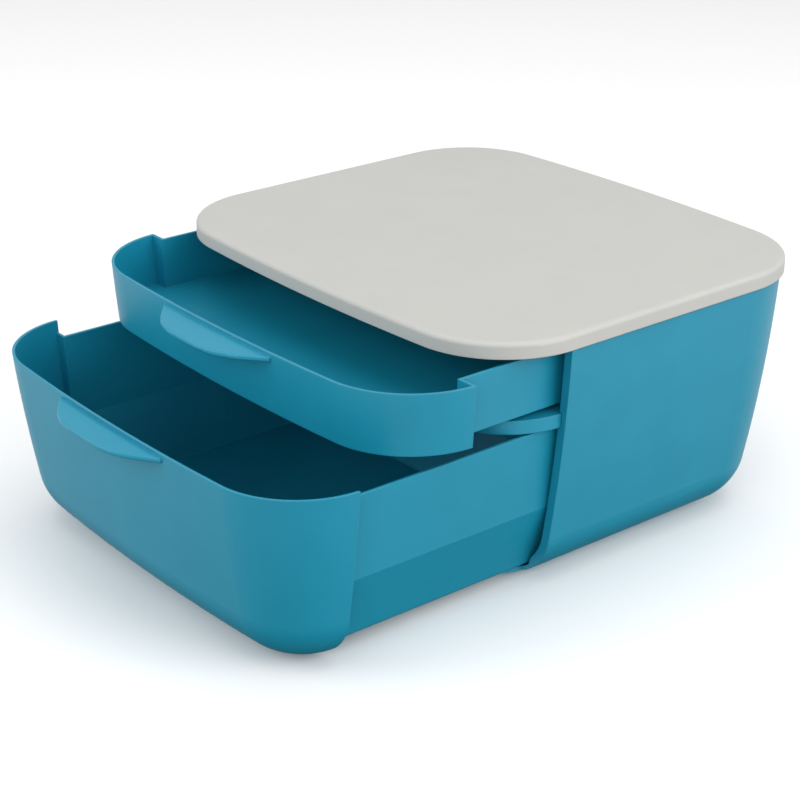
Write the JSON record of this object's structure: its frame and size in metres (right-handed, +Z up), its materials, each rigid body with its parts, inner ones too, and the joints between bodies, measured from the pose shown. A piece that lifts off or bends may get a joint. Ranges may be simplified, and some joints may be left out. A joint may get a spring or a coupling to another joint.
{
  "type": "file box with drawers",
  "caption": "Desktop file box with a flat lid over a bowl-shaped casing, and a shallow and a deep drawer that slide out at the front.",
  "frame": {"origin": "on the desk, under the centre of the lid, at the underside of the centre foot", "axes": "+Z up, the drawers pull out towards -Y, +X to the right of someone who faces the drawers"},
  "size_m": [0.368, 0.4941, 0.19],
  "materials": {
    "casing_plastic": "satin moulded plastic with a fine even grain",
    "drawer_plastic": "satin moulded plastic with a fine even grain",
    "lid_plastic": "matt light warm grey moulded plastic",
    "foot_rubber": "soft matt rubber",
    "screw_steel": "zinc-plated steel"
  },
  "bodies": {
    "casing": {"casing": "casing_plastic", "lid": "lid_plastic", "middle_shelf": "casing_plastic", "foot_front_left": "foot_rubber", "foot_front_right": "foot_rubber", "foot_rear_left": "foot_rubber", "foot_rear_right": "foot_rubber", "foot_centre": "foot_rubber", "lid_screws": "screw_steel"},
    "upper_drawer": {"upper_drawer": "drawer_plastic"},
    "lower_drawer": {"lower_drawer": "drawer_plastic"}
  },
  "joints": [
    {"name": "upper_drawer_slide", "type": "slide", "parent": "casing", "child": "upper_drawer", "axis": [0, -1, 0], "range_m": [-0.0785, 0.1328]},
    {"name": "lower_drawer_slide", "type": "slide", "parent": "casing", "child": "lower_drawer", "axis": [0, -1, 0], "range_m": [-0.1653, 0.0196]}
  ]
}
